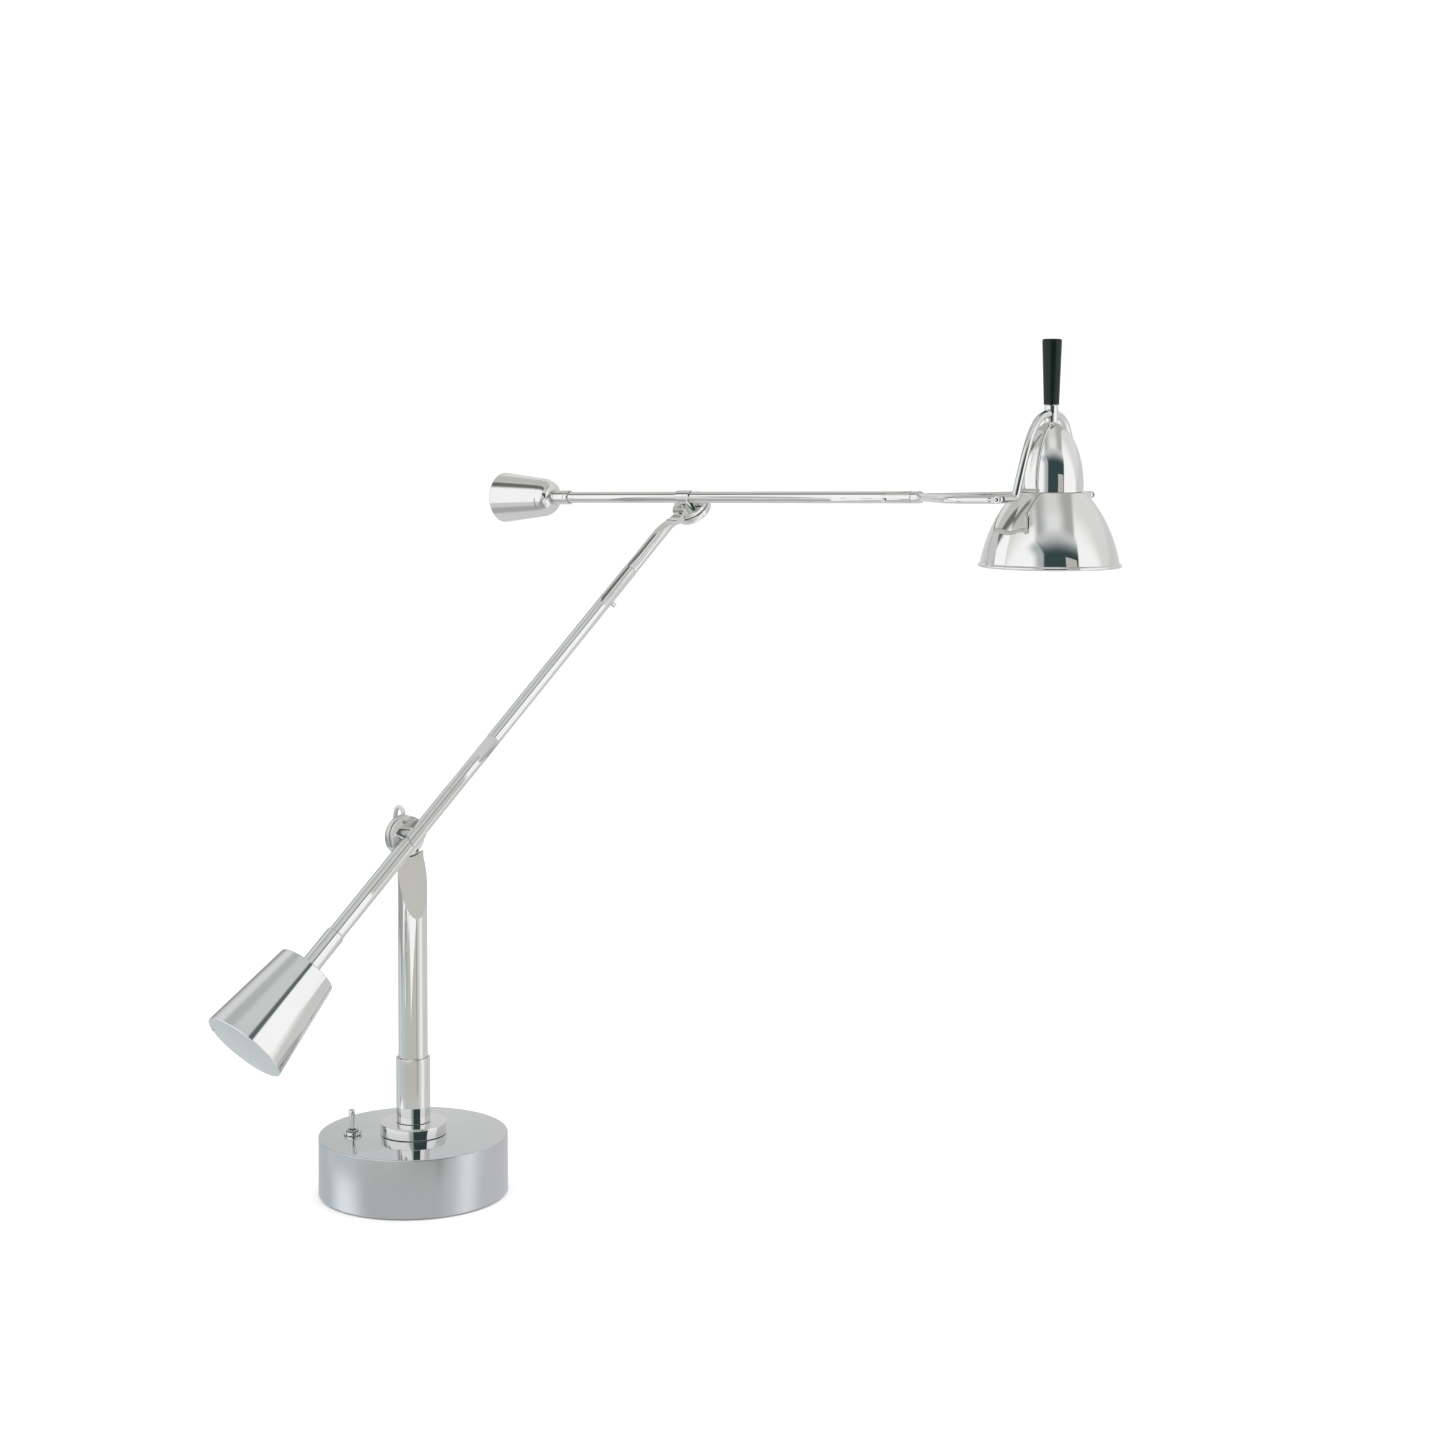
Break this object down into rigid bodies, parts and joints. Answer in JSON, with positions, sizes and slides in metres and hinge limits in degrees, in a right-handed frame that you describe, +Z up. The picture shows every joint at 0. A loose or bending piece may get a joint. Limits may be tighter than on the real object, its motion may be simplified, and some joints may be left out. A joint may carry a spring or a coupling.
{
  "type": "architect desk lamp",
  "caption": "Counterweighted articulated desk lamp: round base, post, disc joints, cone counterweights, fork and bow carrying a bell shade with a handle.",
  "frame": {"origin": "centre of the underside of the base", "axes": "+Z up, +X to the right and -Y towards the viewer in the stored pose"},
  "size_m": [0.7424, 0.5072, 0.7236],
  "materials": {
    "polished_nickel": "mirror-polished nickel plate",
    "satin_nickel": "satin plate, turned",
    "steel": "plain steel",
    "ballast_iron": "as cast",
    "felt": "dark felt",
    "black_plastic": "moulded",
    "handle_black": "satin black, slightly green",
    "fibre": "friction fibre",
    "cable_grey": "grey sheath",
    "ceramic": "glazed white",
    "bulb_glass": "opal glass"
  },
  "bodies": {
    "base_body": {"base_shell": "satin_nickel", "base_ballast": "ballast_iron", "base_plate": "steel", "plate_screw_1": "steel", "plate_screw_2": "steel", "plate_screw_3": "steel", "felt_pad": "felt", "cable_gland": "black_plastic", "switch_body": "steel", "switch_nut": "polished_nickel", "collar": "polished_nickel", "post_sleeve": "polished_nickel", "stem_nut": "steel", "swivel_bush": "fibre", "sleeve_grub_screw": "steel"},
    "lever_body": {"switch_lever": "polished_nickel"},
    "post_body": {"post": "polished_nickel", "shoulder_cable": "cable_grey"},
    "lower_arm": {"shoulder_mount": "polished_nickel", "shoulder_washer": "fibre", "shoulder_stud": "steel", "shoulder_nut": "polished_nickel", "shoulder_screw_1": "steel", "shoulder_screw_2": "steel", "lower_arm_tube": "polished_nickel", "lower_arm_sleeve": "polished_nickel", "lower_weight_neck": "polished_nickel", "lower_weight": "polished_nickel", "lower_set_screw": "polished_nickel"},
    "arm_end": {"lower_arm_end": "polished_nickel"},
    "upper_arm": {"elbow_mount": "polished_nickel", "elbow_washer": "fibre", "elbow_stud": "steel", "elbow_nut": "polished_nickel", "elbow_screw_1": "steel", "upper_arm_tube": "polished_nickel", "upper_weight_neck": "polished_nickel", "upper_weight": "polished_nickel", "upper_set_screw": "polished_nickel"},
    "fork_body": {"fork": "polished_nickel", "head_pin_front": "polished_nickel", "head_pin_rear": "polished_nickel", "head_bridge_cable": "cable_grey"},
    "head": {"bow": "polished_nickel", "ferrule": "polished_nickel", "head_stud": "steel", "handle": "handle_black", "shade_dome": "polished_nickel", "shade_bell": "polished_nickel", "lampholder": "ceramic", "bulb": "bulb_glass"}
  },
  "joints": [
    {"name": "switch_toggle", "type": "hinge", "parent": "base_body", "child": "lever_body", "pos_m": [-0.051, -0.006, 0.0514], "axis": [-1, 0, 0], "range_deg": [0, 24]},
    {"name": "post_swivel", "type": "hinge", "parent": "base_body", "child": "post_body", "pos_m": [0, 0, 0], "axis": [0, 0, 1], "range_deg": [-170, 170]},
    {"name": "shoulder_tilt", "type": "hinge", "parent": "post_body", "child": "lower_arm", "pos_m": [0.00177, -0.0019, 0.3035], "axis": [-0.682, 0.7314, 0], "range_deg": [-9, 25]},
    {"name": "lower_arm_roll", "type": "hinge", "parent": "lower_arm", "child": "arm_end", "pos_m": [0.00177, -0.0019, 0.3035], "axis": [0.5452, 0.5084, 0.6665], "range_deg": [-90, 90]},
    {"name": "elbow_tilt", "type": "hinge", "parent": "arm_end", "child": "upper_arm", "pos_m": [0.22711, 0.20777, 0.58337], "axis": [0.4186, 0.5238, -0.7419], "range_deg": [-45, 60]},
    {"name": "fork_roll", "type": "hinge", "parent": "upper_arm", "child": "fork_body", "pos_m": [0.22711, 0.20777, 0.58337], "axis": [0.7982, -0.6019, 0.0254], "range_deg": [-90, 90]},
    {"name": "head_tilt", "type": "hinge", "parent": "fork_body", "child": "head", "pos_m": [0.52802, -0.01915, 0.59295], "axis": [0.6021, 0.7984, -0.0003], "range_deg": [-60, 35]}
  ]
}
